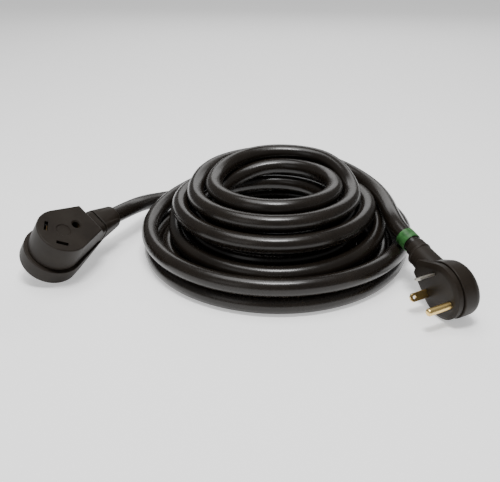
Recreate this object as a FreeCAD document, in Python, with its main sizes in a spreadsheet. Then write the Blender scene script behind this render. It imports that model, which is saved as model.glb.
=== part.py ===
"""Shore power cord for a caravan: 30 A plug, coiled cord and 30 A connector.

Millimetres, Z up, floor at Z = 0. Each moulded end is drawn in its own frame: the origin is
the middle of its face, +Z leaves the face and +X runs from the face's middle to the neck.
"""
import FreeCAD, Part
import math
import os
import Sketcher

V = FreeCAD.Vector
DOC = FreeCAD.newDocument("shore_power_cord")
SHEET = DOC.addObject("Spreadsheet::Sheet", "sizes")

SIZES = {
    # Cord and coil
    "cord_diameter": 17.5,
    "strand_gap": 0.5,
    "coil_radius": 130.0,
    "coil_x": 37.8,
    "coil_y": 6.3,
    "core_inner_radius": 55.0,
    "conductor_diameter": 4.6,
    "bundle_radius": 3.4,
    # Contacts, shared by both ends so that they mate
    "pin_circle": 16.6,
    "blade_turn": 45.0,
    "blade_width": 8.0,
    "blade_thickness": 2.0,
    "blade_length": 18.0,
    "blade_corner": 2.4,
    "blade_hole": 1.7,
    "blade_hole_back": 4.2,
    "pin_radius": 3.45,
    "pin_length": 23.8,
    "pin_root_radius": 3.1,
    "pin_chamfer": 1.4,
    "fit_gap": 0.2,
    "crimp_wall": 1.1,
    "crimp_length": 6.5,
    "tail_radius": 2.0,
    "bend_run": 5.5,
    "bend_lead": 2.5,
    "opening_play": 0.3,
    # Plug
    "plug_beside_coil": 10.5,
    "plug_before_coil": 8.4,
    "plug_yaw": 114.7,
    "plug_pitch": -12.7,
    "plug_roll": -96.5,
    "plug_face_radius": 23.0,
    "plug_front_thickness": 7.0,
    "plug_tip_reach": 34.0,
    "plug_tip_half": 5.0,
    "plug_groove": 2.5,
    "plug_waist_radius": 21.2,
    "plug_cover_radius": 27.5,
    "plug_cover_depth": 18.5,
    "plug_cover_break": 4.6,
    "plug_cover_reach": 42.0,
    "plug_cover_half": 11.0,
    "plug_cavity_radius": 19.4,
    "plug_cavity_reach": 30.0,
    "plug_cavity_depth": 15.2,
    "plug_neck_drop": 17.2,
    "plug_neck_radius": 11.3,
    "plug_neck_end": 50.0,
    "plug_relief_length": 8.4,
    "plug_relief_radius": 10.6,
    "plug_insert_radius": 20.8,
    "plug_insert_thickness": 4.0,
    "plug_crimp_start": 4.0,
    # Connector
    "connector_beside_coil": 72.7,
    "connector_forward": 73.9,
    "connector_yaw": 59.3,
    "connector_pitch": 2.3,
    "connector_roll": 34.0,
    "connector_face_radius": 25.5,
    "connector_front_depth": 29.5,
    "connector_face_reach": 34.0,
    "connector_shoulder": 52.0,
    "connector_neck_half": 13.5,
    "connector_groove": 2.0,
    "connector_waist_radius": 24.0,
    "connector_cover_radius": 29.0,
    "connector_cover_depth": 17.5,
    "connector_cover_break": 2.5,
    "connector_cover_lift": 14.5,
    "connector_slope_start": 18.0,
    "connector_cavity_radius": 21.8,
    "connector_cavity_reach": 38.0,
    "connector_roof": 4.0,
    "connector_neck_drop": 20.6,
    "connector_neck_radius": 13.0,
    "connector_neck_end": 58.0,
    "connector_relief_length": 25.7,
    "connector_relief_end": 10.2,
    "connector_insert_radius": 21.5,
    "connector_insert_thickness": 10.4,
    "connector_dish_radius": 9.5,
    "connector_dish_depth": 0.6,
    "contact_leaf": 0.8,
    "connector_crimp_start": 13.0,
    # Shared moulding details
    "cavity_mouth": 7.5,
    "relief_bore": 6.4,
    "collar_length": 3.0,
    "collar_rise": 1.0,
    "relief_groove": 1.2,
    "edge_break": 1.0,
    # Inspection band on the cord
    "band_length": 12.6,
    "band_wall": 0.8,
    "band_offset": 1.0,
}

for row, (alias, number) in enumerate(SIZES.items(), start=1):
    SHEET.set("A%d" % row, alias)
    SHEET.set("B%d" % row, str(number))
    SHEET.setAlias("B%d" % row, alias)
DOC.recompute()


class Dim:
    """A number from the sheet together with the expression that gives it."""

    def __init__(self, value, text):
        self.value = float(value)
        self.text = text

    @staticmethod
    def of(item):
        return item if isinstance(item, Dim) else Dim(item, repr(float(item)))

    def __add__(self, other):
        other = Dim.of(other)
        return Dim(self.value + other.value, "(%s + %s)" % (self.text, other.text))

    def __sub__(self, other):
        other = Dim.of(other)
        return Dim(self.value - other.value, "(%s - %s)" % (self.text, other.text))

    def __mul__(self, other):
        other = Dim.of(other)
        return Dim(self.value * other.value, "(%s * %s)" % (self.text, other.text))

    def __truediv__(self, other):
        other = Dim.of(other)
        return Dim(self.value / other.value, "(%s / %s)" % (self.text, other.text))

    def __neg__(self):
        return Dim(-self.value, "(-1 * %s)" % self.text)


def size(alias):
    """The sheet's value under this alias, as a Dim."""
    return Dim(SHEET.get(alias), "sizes.%s" % alias)


ZERO = 0.0
SAME_PLACE = 1e-4
NODES = []


# Sketch and feature helpers

def new_body(name, placement):
    body = DOC.addObject("PartDesign::Body", name)
    body.Label = name
    body.Placement = placement
    NODES.append(body)
    return body


def new_sketch(body, role, name, across=ZERO, along=ZERO, lift=ZERO):
    """A sketch on one of the body's own planes, its origin moved by the three distances."""
    sketch = body.newObject("Sketcher::SketchObject", "%s_%s" % (body.Name, name))
    plane = next(item for item in body.Origin.OriginFeatures if item.Role == role)
    sketch.AttachmentSupport = [(plane, "")]
    sketch.MapMode = "FlatFace"
    for axis, distance in (("x", across), ("y", along), ("z", lift)):
        sketch.setExpression("AttachmentOffset.Base.%s" % axis, Dim.of(distance).text)
    return sketch


def bind(sketch, kind, places, dim):
    """A dimension constraint on the sketch, tied to the sheet."""
    dim = Dim.of(dim)
    index = sketch.addConstraint(Sketcher.Constraint(kind, *places, dim.value))
    sketch.setExpression("Constraints[%d]" % index, dim.text)


def pin_point(sketch, edge, end, across, along):
    """Fixes a point of the sketch at a distance across and along from its origin."""
    for kind, dim, axis in (("DistanceX", Dim.of(across), -2), ("DistanceY", Dim.of(along), -1)):
        if dim.value == 0.0:
            sketch.addConstraint(Sketcher.Constraint("PointOnObject", edge, end, axis))
        elif dim.value > 0.0:
            bind(sketch, kind, (-1, 1, edge, end), dim)
        else:
            bind(sketch, kind, (edge, end, -1, 1), -dim)


def polygon(sketch, corners):
    """A closed outline of straight lines through the given corners."""
    points = [V(Dim.of(x).value, Dim.of(y).value, 0) for x, y in corners]
    lines = []
    for start, end in zip(points, points[1:] + points[:1]):
        lines.append(sketch.addGeometry(Part.LineSegment(start, end), False))
    for line, after in zip(lines, lines[1:] + lines[:1]):
        sketch.addConstraint(Sketcher.Constraint("Coincident", line, 2, after, 1))
    for line, (x, y) in zip(lines, corners):
        pin_point(sketch, line, 1, x, y)


def circle(sketch, radius, across=ZERO, along=ZERO):
    middle = V(Dim.of(across).value, Dim.of(along).value, 0)
    edge = sketch.addGeometry(Part.Circle(middle, V(0, 0, 1), Dim.of(radius).value), False)
    bind(sketch, "Radius", (edge,), radius)
    pin_point(sketch, edge, 3, across, along)


def teardrop(sketch, radius, reach, half):
    """A round end on the origin, tangent sides and a straight end at reach, 2 x half wide."""
    far = math.hypot(reach.value, half.value)
    touch = math.atan2(half.value, reach.value) + math.acos(radius.value / far)
    arc = sketch.addGeometry(
        Part.ArcOfCircle(Part.Circle(V(0, 0, 0), V(0, 0, 1), radius.value), touch, 2 * math.pi - touch),
        False,
    )
    upper = V(radius.value * math.cos(touch), radius.value * math.sin(touch), 0)
    lower = V(upper.x, -upper.y, 0)
    top = V(reach.value, half.value, 0)
    bottom = V(reach.value, -half.value, 0)
    under = sketch.addGeometry(Part.LineSegment(lower, bottom), False)
    end = sketch.addGeometry(Part.LineSegment(bottom, top), False)
    over = sketch.addGeometry(Part.LineSegment(top, upper), False)
    sketch.addConstraint(Sketcher.Constraint("Coincident", arc, 3, -1, 1))
    bind(sketch, "Radius", (arc,), radius)
    sketch.addConstraint(Sketcher.Constraint("Tangent", arc, 2, under, 1))
    sketch.addConstraint(Sketcher.Constraint("Tangent", over, 2, arc, 1))
    sketch.addConstraint(Sketcher.Constraint("Coincident", under, 2, end, 1))
    sketch.addConstraint(Sketcher.Constraint("Coincident", end, 2, over, 1))
    pin_point(sketch, end, 1, reach, -half)
    pin_point(sketch, end, 2, reach, half)


def pad(body, sketch, length, down=False, both_ways=False):
    feature = body.newObject("PartDesign::Pad", sketch.Name + "_pad")
    feature.Profile = sketch
    feature.setExpression("Length", Dim.of(length).text)
    feature.Reversed = down
    feature.Midplane = both_ways
    sketch.Visibility = False
    return feature


def pocket(body, sketch, length, up=False, both_ways=False):
    """Cuts away from the sketch, against its normal, or along it when up is set."""
    feature = body.newObject("PartDesign::Pocket", sketch.Name + "_pocket")
    feature.Profile = sketch
    feature.setExpression("Length", Dim.of(length).text)
    feature.Reversed = up
    feature.Midplane = both_ways
    return feature


def turn(body, sketch, axis):
    feature = body.newObject("PartDesign::Revolution", sketch.Name + "_turn")
    feature.Profile = sketch
    feature.ReferenceAxis = (sketch, [axis])
    feature.Angle = 360.0
    return feature


def break_edges(body, chosen, width):
    """Chamfers the edges of the body's last feature that the test picks out."""
    DOC.recompute()
    base = body.Tip
    names = ["Edge%d" % n for n, edge in enumerate(base.Shape.Edges, start=1) if chosen(edge)]
    feature = body.newObject("PartDesign::Chamfer", body.Name + "_chamfer")
    feature.Base = (base, names)
    feature.setExpression("Size", Dim.of(width).text)


def flat_edge_at(level, reach=None):
    """A test for edges that lie at this height and, if given, wholly this side of reach."""
    def chosen(edge):
        box = edge.BoundBox
        level_ok = abs(box.ZMin - level) < SAME_PLACE and abs(box.ZMax - level) < SAME_PLACE
        return level_ok and (reach is None or box.XMin < reach - SAME_PLACE)
    return chosen


# Tubes of the cord's eight-sided section

SIDES = 8


def section_wire(start, direction, diameter):
    """The closed section of a cord or conductor at its start, a flat side underneath."""
    direction = direction.normalize()
    side = direction.cross(V(0, 0, 1)).normalize()
    rise = side.cross(direction)
    radius = diameter / 2
    corners = []
    for k in range(SIDES):
        angle = 2 * math.pi * (k + 0.5) / SIDES - math.pi / 2
        corners.append(start + side * (radius * math.cos(angle)) + rise * (radius * math.sin(angle)))
    return Part.makePolygon(corners + corners[:1])


def section_area(diameter):
    return SIDES / 2.0 * (diameter / 2) ** 2 * math.sin(2 * math.pi / SIDES)


def tube(edges, direction, diameter, name):
    """A solid along tangent lines and arcs, its volume checked against section times length."""
    path = Part.Wire(edges)
    start = edges[0].valueAt(edges[0].FirstParameter)
    solid = path.makePipeShell([section_wire(start, direction, diameter)], True, False)
    expected = section_area(diameter) * path.Length
    print("%s: length %.1f, volume %.4f of section x length" % (name, path.Length, solid.Volume / expected))
    if abs(solid.Volume / expected - 1) > 0.01:
        raise ValueError("%s doesn't fill its path" % name)
    return solid


def rounded_route(points, name):
    """Straight runs joined by tangent arcs as large as the runs at each point allow."""
    edges = []
    radii = []
    start = points[0]
    for before, corner, after in zip(points, points[1:], points[2:]):
        come = corner - before
        leave = after - corner
        half_turn = come.getAngle(leave) / 2
        tangent = 0.45 * min(come.Length, leave.Length)
        radii.append(tangent / math.tan(half_turn))
        come.normalize()
        leave.normalize()
        arc_start = corner - come * tangent
        arc_end = corner + leave * tangent
        chord_middle = (arc_start + arc_end) * 0.5
        inward = corner - chord_middle
        middle = chord_middle + inward * arc_fraction(half_turn)
        edges.append(Part.LineSegment(start, arc_start).toShape())
        edges.append(Part.Arc(arc_start, middle, arc_end).toShape())
        start = arc_end
    edges.append(Part.LineSegment(start, points[-1]).toShape())
    print("%s: bend radii %s" % (name, [round(r, 1) for r in radii]))
    return edges


def arc_fraction(half_turn):
    """How far from the chord's middle to the corner an arc of twice this turn reaches."""
    return math.cos(half_turn) / (1 + math.cos(half_turn))


def biarc(start, heading, end, arriving):
    """Two arcs that leave start along heading and reach end along arriving."""
    span = end - start
    both = heading + arriving
    spread = 2 * (1 - heading.dot(arriving))
    along = span.dot(both)
    if spread < 1e-9:
        reach = span.dot(span) / (2 * along)
    else:
        reach = (math.sqrt(along * along + spread * span.dot(span)) - along) / spread
    first_corner = start + heading * reach
    second_corner = end - arriving * reach
    joint = (first_corner + second_corner) * 0.5
    edges = []
    for near, corner, far in ((start, first_corner, joint), (joint, second_corner, end)):
        chord_middle = (near + far) * 0.5
        cosine = (near - chord_middle).Length / (near - corner).Length
        if cosine > 1 - 1e-10:
            edges.append(Part.LineSegment(near, far).toShape())
        else:
            middle = chord_middle + (corner - chord_middle) * (cosine / (1 + cosine))
            edges.append(Part.Arc(near, middle, far).toShape())
    return edges


# The coil

# Each stop of the outer strands: turns from the back, then steps out from the coil's radius
# and steps up from the floor strand, in cord pitches. Clockwise seen from above.
LOOP_STOPS = [
    (0.000, 0.78, 0.00),
    (0.250, 0.00, 0.00),
    (0.750, 0.00, 0.00),
    (1.000, -0.19, 0.64),
    (1.125, -0.03, 1.00),
    (1.250, 0.11, 1.08),
    (1.750, 0.11, 1.08),
    (2.000, -0.61, 1.64),
    (2.250, -1.17, 1.58),
    (2.750, -1.17, 1.58),
    (3.000, -1.47, 2.22),
    (3.125, -1.69, 2.33),
    (3.250, -1.75, 2.58),
    (3.750, -1.75, 2.58),
    (3.875, -2.22, 2.78),
    (4.000, -3.08, 3.08),
    (4.125, -3.60, 3.50),
    (4.250, -3.72, 3.72),
    (4.750, -3.72, 3.72),
    (5.000, -3.11, 4.22),
    (5.125, -2.58, 4.00),
    (5.250, -2.67, 3.28),
    (5.750, -2.67, 3.28),
    (5.875, -2.22, 3.83),
    (6.000, -1.44, 3.50),
    (6.110, -0.66, 2.94),
    (6.180, -0.63, 2.58),
    (6.250, -0.61, 2.42),
]

# The plain ring that stands for the hidden turns: how far out and up each of its steps goes
CORE_STEPS = [
    (-0.98, 0.67),
    (-1.76, 1.73),
    (-2.55, 2.20),
    (-3.33, 2.55),
]

# The connector lead's points, given as the loop's stops are, and the leads' straight ends
CONNECTOR_LEAD_STOPS = [
    (-0.1931, 1.44, 1.14),
    (-0.1643, 1.45, 0.69),
    (-0.1365, 1.52, 0.33),
    (-0.1072, 1.59, 0.11),
    (-0.0786, 1.45, 0.01),
]
CONNECTOR_COIL_RUN = 28.5
CONNECTOR_NECK_RUN = 28.5
PLUG_COIL_RUN = 20.5
PLUG_NECK_RUN = 24.0

# The share of the cord's diameter that is cut flat where it lies on the floor
FLOOR_FLAT = 0.1
# The step between the points that the strand gap is measured on
GAP_STEP = 3.0

cord = size("cord_diameter").value
pitch = cord + size("strand_gap").value
first_height = cord / 2 - cord * FLOOR_FLAT
coil_radius = size("coil_radius").value
coil_middle = V(size("coil_x").value, size("coil_y").value, 0)


def steady_slope(before, here, after):
    """The slope at the middle stop: level where the strand stops rising or spreading."""
    left = (here[1] - before[1]) / (here[0] - before[0])
    right = (after[1] - here[1]) / (after[0] - here[0])
    if left * right <= 0:
        return 0.0
    return 2 * left * right / (left + right)


def stop_slopes(stops, column):
    values = [(stop[0], stop[column]) for stop in stops]
    inner = [steady_slope(*values[k - 1:k + 2]) for k in range(1, len(values) - 1)]
    return [0.0] + inner + [0.0]


def coil_place(turns, out, up):
    """A point of the cord, given as turns from the back and steps out and up."""
    angle = 2 * math.pi * turns
    radius = coil_radius + out * pitch
    return coil_middle + V(math.sin(angle) * radius, math.cos(angle) * radius, first_height + up * pitch)


def loop_edges():
    """The coil's path: a straight diameter, biarcs from stop to stop, a straight diameter."""
    places = [coil_place(*stop) for stop in LOOP_STOPS]
    headings = []
    for stop, spread, climb in zip(LOOP_STOPS, stop_slopes(LOOP_STOPS, 1), stop_slopes(LOOP_STOPS, 2)):
        angle = 2 * math.pi * stop[0]
        outward = V(math.sin(angle), math.cos(angle), 0)
        onward = V(math.cos(angle), -math.sin(angle), 0)
        around = 2 * math.pi * (coil_radius + stop[1] * pitch)
        heading = onward * around + outward * (spread * pitch) + V(0, 0, climb * pitch)
        headings.append(heading.normalize())
    start = places[0] - headings[0] * cord
    end = places[-1] + headings[-1] * cord
    edges = [Part.LineSegment(start, places[0]).toShape()]
    for k in range(len(places) - 1):
        edges += biarc(places[k], headings[k], places[k + 1], headings[k + 1])
    edges.append(Part.LineSegment(places[-1], end).toShape())
    return edges, headings[0], headings[-1]


def least_gap(edges, step):
    """The least distance between strands, on points of the whole path, less the cord's diameter."""
    points = []
    run = 0.0
    for edge in edges:
        count = max(2, int(edge.Length / step) + 1)
        for point in edge.discretize(count)[:-1]:
            points.append((run, (point.x, point.y, point.z)))
            run += edge.Length / (count - 1)
    nearest = (math.inf, None, None)
    for k, (here, point) in enumerate(points):
        for there, other in points[k + 1:]:
            if there - here > 2 * cord:
                nearest = min(nearest, (math.dist(point, other), point, other))
    return nearest[0] - cord, nearest[1], nearest[2]


def keep_above_floor(solid):
    """The solid cut flat where it stands on the floor."""
    box = solid.BoundBox
    corner = V(box.XMin - cord, box.YMin - cord, -cord)
    return solid.cut(Part.makeBox(box.XLength + cord * 2, box.YLength + cord * 2, cord, corner))


def new_feature(name, shape, placement=None):
    feature = DOC.addObject("Part::Feature", name)
    feature.Label = name
    feature.Shape = shape
    if placement is not None:
        feature.Placement = placement
    NODES.append(feature)
    return feature


coil_edges, coil_arrival, coil_departure = loop_edges()
coil_start = coil_edges[0].valueAt(coil_edges[0].FirstParameter)
coil_end = coil_edges[-1].valueAt(coil_edges[-1].LastParameter)
new_feature("cable_coil", keep_above_floor(tube(coil_edges, coil_arrival, cord, "cable_coil")))


# The hidden turns inside the coil
def coil_core():
    body = new_body("coil_core", FreeCAD.Placement(coil_middle, FreeCAD.Rotation()))
    sketch = new_sketch(body, "XZ_Plane", "profile")
    step = size("cord_diameter") + size("strand_gap")
    level = size("cord_diameter") / 2 - size("cord_diameter") * FLOOR_FLAT
    inner = size("core_inner_radius")
    corners = [(inner, ZERO)]
    height = ZERO
    for out, up in CORE_STEPS:
        radius = size("coil_radius") + step * out
        corners.append((radius, height))
        height = level + step * up
        corners.append((radius, height))
    corners.append((inner, height))
    polygon(sketch, corners)
    turn(body, sketch, "V_Axis")


coil_core()


# Where the moulded ends lie

def resting_height(rotation, rims):
    """The height of the face's middle when the lowest of the rims touches the floor.

    Each rim is a circle about the face's axis, given as radius and height.
    """
    lean = rotation.multVec(V(0, 0, 1)).z
    spread = math.sqrt(1 - lean * lean)
    return max(radius.value * spread - lean * height.value for radius, height in rims)


def head_placement(end, across, along, rims):
    angles = [size("%s_%s" % (end, name)).value for name in ("yaw", "pitch", "roll")]
    rotation = FreeCAD.Rotation(*angles)
    middle = V(across.value, along.value, resting_height(rotation, rims))
    return FreeCAD.Placement(middle + coil_middle, rotation)


def turned_by(place, degrees):
    """A placement turned about the face's normal."""
    return place.multiply(FreeCAD.Placement(V(0, 0, 0), FreeCAD.Rotation(V(0, 0, 1), degrees)))


# Sizes that follow from the sheet

EDGE = size("edge_break")
CRIMP_BORE = size("conductor_diameter") / 2 + size("fit_gap")
CRIMP_REACH = CRIMP_BORE + size("crimp_wall")
SIDE_OUT = size("pin_circle") * math.cos(math.radians(size("blade_turn").value))
BUNDLE_SIDE = size("bundle_radius") * math.cos(math.pi / 6)
BUNDLE_RISE = size("bundle_radius") * math.sin(math.pi / 6)

PLUG_BACK_TOP = size("plug_front_thickness") + size("plug_groove")
PLUG_BACK = PLUG_BACK_TOP + size("plug_cover_depth")
PLUG_NECK = size("plug_neck_drop")
PLUG_END = size("plug_neck_end") + size("plug_relief_length")
PLUG_LIVE_DROP = PLUG_NECK - BUNDLE_RISE
PLUG_GROUND_DROP = PLUG_NECK + size("bundle_radius")
PLUG_INSERT_TOP = size("plug_front_thickness") - size("plug_insert_thickness")

CONNECTOR_WAIST = size("connector_front_depth")
CONNECTOR_BACK_TOP = CONNECTOR_WAIST + size("connector_groove")
CONNECTOR_BACK = CONNECTOR_BACK_TOP + size("connector_cover_depth")
CONNECTOR_NECK = size("connector_neck_drop")
CONNECTOR_END = size("connector_neck_end") + size("connector_relief_length")
CONNECTOR_CLIP_END = size("blade_length") + size("fit_gap") + size("contact_leaf")
CONNECTOR_SLEEVE_END = size("pin_length") + size("fit_gap") + size("contact_leaf")
CONNECTOR_LIVE_DROP = CONNECTOR_CLIP_END + CRIMP_REACH
CONNECTOR_GROUND_DROP = CONNECTOR_SLEEVE_END + CRIMP_REACH
SLEEVE_BORE = size("pin_radius") + size("opening_play")
SLEEVE_RADIUS = SLEEVE_BORE + size("contact_leaf")

plug_across = size("coil_radius") + size("plug_beside_coil")
plug_along = -(size("coil_radius") + size("plug_before_coil"))
plug = head_placement("plug", plug_across, plug_along, [
    (size("plug_face_radius"), -EDGE),
    (size("plug_cover_radius"), -PLUG_BACK_TOP),
    (size("plug_cover_radius"), size("plug_cover_break") - PLUG_BACK),
    (size("plug_cover_radius") - size("plug_cover_break"), -PLUG_BACK),
])
connector_across = -(size("coil_radius") + size("connector_beside_coil"))
connector = head_placement("connector", connector_across, -size("connector_forward"), [
    (size("connector_face_radius"), -EDGE),
    (size("connector_cover_radius"), -CONNECTOR_BACK_TOP),
    (size("connector_cover_radius"), size("connector_cover_break") - CONNECTOR_BACK),
    (size("connector_cover_radius") - size("connector_cover_break"), -CONNECTOR_BACK),
])


# Pieces that both ends have

def rectangle(sketch, across, along, middle_x=ZERO, middle_y=ZERO):
    half_x = Dim.of(across) / 2
    half_y = Dim.of(along) / 2
    x = Dim.of(middle_x)
    y = Dim.of(middle_y)
    polygon(sketch, [
        (x - half_x, y - half_y),
        (x + half_x, y - half_y),
        (x + half_x, y + half_y),
        (x - half_x, y + half_y),
    ])


def blade_slots(body, side, play, top, depth):
    """Two slots through the piece, one for each blade, at the given side of the face."""
    for name, sense in (("upper", -1), ("lower", 1)):
        sketch = new_sketch(body, "XY_Plane", name + "_slot", lift=-Dim.of(top))
        sketch.setExpression("AttachmentOffset.Rotation.Angle", "%g * sizes.blade_turn" % (sense * side))
        rectangle(
            sketch,
            size("blade_thickness") + Dim.of(play) * 2,
            size("blade_width") + Dim.of(play) * 2,
            size("pin_circle") * side,
        )
        pocket(body, sketch, depth)


def cord_bore(body, neck_drop, start, length):
    sketch = new_sketch(body, "YZ_Plane", "cord_bore", along=-neck_drop, lift=start)
    circle(sketch, size("relief_bore"))
    pocket(body, sketch, length, up=True)


def crimp(name, place, start, side, drop):
    """A six-sided crimp barrel on the conductor, along the neck's direction."""
    body = new_body(name, place)
    sketch = new_sketch(body, "YZ_Plane", "barrel", across=side, along=-drop, lift=start)
    corner = CRIMP_REACH / math.cos(math.pi / 6)
    polygon(sketch, [
        (corner * math.cos(k * math.pi / 3), corner * math.sin(k * math.pi / 3))
        if k % 3 else (corner * math.cos(k * math.pi / 3), ZERO)
        for k in range(6)
    ])
    pad(body, sketch, size("crimp_length"))
    bore = new_sketch(body, "YZ_Plane", "bore", across=side, along=-drop, lift=start)
    circle(bore, CRIMP_BORE)
    pocket(body, bore, size("crimp_length"), up=True)


def conductor(name, place, points):
    """A conductor from inside its crimp to the end of the strain relief, its ends square to X."""
    stations = [V(*[Dim.of(part).value for part in point]) for point in points]
    wires = [section_wire(station, V(1, 0, 0), size("conductor_diameter").value) for station in stations]
    new_feature(name, Part.makeLoft(wires, True, True), place)


def strain_relief(name, place, neck_drop, outline):
    """A sleeve turned about the neck's axis; the outline is given as length and radius."""
    body = new_body(name, place)
    sketch = new_sketch(body, "XZ_Plane", "profile", along=-neck_drop)
    polygon(sketch, outline)
    turn(body, sketch, "H_Axis")


# Plug

def plug_front_body():
    body = new_body("plug_front_body", plug)
    face = new_sketch(body, "XY_Plane", "face")
    teardrop(face, size("plug_face_radius"), size("plug_tip_reach"), size("plug_tip_half"))
    pad(body, face, size("plug_front_thickness"), down=True)
    break_edges(body, flat_edge_at(0), EDGE)
    seat = new_sketch(body, "XY_Plane", "insert_seat", lift=-size("plug_front_thickness"))
    circle(seat, size("plug_insert_radius") + size("fit_gap"))
    pocket(body, seat, size("plug_insert_thickness"), up=True)
    blade_slots(body, 1, size("fit_gap"), ZERO, PLUG_INSERT_TOP)
    hole = new_sketch(body, "XY_Plane", "pin_hole")
    circle(hole, size("pin_radius") + size("fit_gap"), -size("pin_circle"))
    pocket(body, hole, PLUG_INSERT_TOP)


def plug_back_cover():
    body = new_body("plug_back_cover", plug)
    front = size("plug_front_thickness")
    waist = new_sketch(body, "XY_Plane", "waist", lift=-front)
    inset = size("plug_face_radius") - size("plug_waist_radius")
    teardrop(waist, size("plug_waist_radius"), size("plug_tip_reach") - inset, size("plug_tip_half"))
    pad(body, waist, size("plug_groove"), down=True)
    cover = new_sketch(body, "XY_Plane", "cover", lift=-PLUG_BACK_TOP)
    teardrop(cover, size("plug_cover_radius"), size("plug_cover_reach"), size("plug_cover_half"))
    pad(body, cover, size("plug_cover_depth"), down=True)
    break_edges(body, flat_edge_at(-PLUG_BACK.value), size("plug_cover_break"))
    neck = new_sketch(body, "YZ_Plane", "neck", along=-PLUG_NECK, lift=size("plug_tip_reach") + EDGE)
    circle(neck, size("plug_neck_radius"))
    pad(body, neck, size("plug_neck_end") - size("plug_tip_reach") - EDGE)
    cavity = new_sketch(body, "XY_Plane", "cavity", lift=-front)
    teardrop(cavity, size("plug_cavity_radius"), size("plug_cavity_reach"), size("cavity_mouth"))
    pocket(body, cavity, size("plug_groove") + size("plug_cavity_depth"))
    reach = size("plug_cavity_reach") - size("relief_bore")
    cord_bore(body, PLUG_NECK, reach, size("plug_neck_end") - reach)


def plug_strain_relief():
    neck_end = size("plug_neck_end")
    collar_end = neck_end + size("collar_length")
    sleeve_start = collar_end + size("relief_groove")
    strain_relief("plug_strain_relief", plug, PLUG_NECK, [
        (neck_end, size("relief_bore")),
        (PLUG_END, size("relief_bore")),
        (PLUG_END, size("plug_relief_radius")),
        (sleeve_start, size("plug_relief_radius")),
        (sleeve_start, size("plug_neck_radius") - size("collar_rise")),
        (collar_end, size("plug_neck_radius") - size("collar_rise")),
        (collar_end, size("plug_neck_radius") + size("collar_rise")),
        (neck_end, size("plug_neck_radius") + size("collar_rise")),
    ])


def plug_insert():
    body = new_body("plug_insert", plug)
    disc = new_sketch(body, "XY_Plane", "disc", lift=-PLUG_INSERT_TOP)
    circle(disc, size("plug_insert_radius"))
    pad(body, disc, size("plug_insert_thickness"), down=True)
    blade_slots(body, 1, ZERO, PLUG_INSERT_TOP, size("plug_insert_thickness"))
    hole = new_sketch(body, "XY_Plane", "pin_hole", lift=-PLUG_INSERT_TOP)
    circle(hole, size("pin_root_radius"), -size("pin_circle"))
    pocket(body, hole, size("plug_insert_thickness"))


def plug_blade(name, sense):
    """A flat blade with clipped corners and a hole near its tip, down to its crimp."""
    body = new_body(name, turned_by(plug, sense * size("blade_turn").value))
    sketch = new_sketch(body, "YZ_Plane", "outline", lift=size("pin_circle"))
    half = size("blade_width") / 2
    tip = size("blade_length")
    clip = size("blade_corner")
    tail = PLUG_LIVE_DROP - CRIMP_REACH
    polygon(sketch, [
        (-half, -tail),
        (half, -tail),
        (half, tip - clip),
        (half - clip, tip),
        (clip - half, tip),
        (-half, tip - clip),
    ])
    pad(body, sketch, size("blade_thickness"), both_ways=True)
    hole = new_sketch(body, "YZ_Plane", "hole", lift=size("pin_circle"))
    circle(hole, size("blade_hole"), ZERO, tip - size("blade_hole_back"))
    pocket(body, hole, size("blade_thickness"), both_ways=True)


def plug_ground_pin():
    body = new_body("plug_ground_pin", plug)
    sketch = new_sketch(body, "XY_Plane", "shank")
    circle(sketch, size("pin_radius"), -size("pin_circle"))
    pad(body, sketch, size("pin_length"))
    break_edges(body, flat_edge_at(size("pin_length").value), size("pin_chamfer"))
    root = new_sketch(body, "XY_Plane", "root")
    circle(root, size("pin_root_radius"), -size("pin_circle"))
    pad(body, root, size("plug_front_thickness"), down=True)
    tail = new_sketch(body, "XY_Plane", "tail", lift=-size("plug_front_thickness"))
    circle(tail, size("tail_radius"), -size("pin_circle"))
    pad(body, tail, PLUG_GROUND_DROP - CRIMP_REACH - size("plug_front_thickness"), down=True)


def plug_wiring():
    start = size("plug_crimp_start")
    bend = start + size("crimp_length") + size("bend_run")
    bundle = size("plug_cavity_reach") - size("bend_lead")
    for name, sense in (("hot", 1), ("neutral", -1)):
        side = SIDE_OUT * sense
        crimp("plug_%s_crimp" % name, plug, start, side, PLUG_LIVE_DROP)
        conductor("plug_%s_conductor" % name, plug, [
            (start, side, -PLUG_LIVE_DROP),
            (bend, side, -PLUG_LIVE_DROP),
            (bundle, BUNDLE_SIDE * sense, -PLUG_LIVE_DROP),
            (PLUG_END, BUNDLE_SIDE * sense, -PLUG_LIVE_DROP),
        ])
    ground = -size("pin_circle") - size("tail_radius") / 2
    crimp("plug_ground_crimp", plug, ground, ZERO, PLUG_GROUND_DROP)
    conductor("plug_ground_conductor", plug, [
        (ground, ZERO, -PLUG_GROUND_DROP),
        (PLUG_END, ZERO, -PLUG_GROUND_DROP),
    ])


plug_front_body()
plug_back_cover()
plug_strain_relief()
plug_insert()
plug_blade("plug_hot_blade", 1)
plug_blade("plug_neutral_blade", -1)
plug_ground_pin()
plug_wiring()


# Connector

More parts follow.
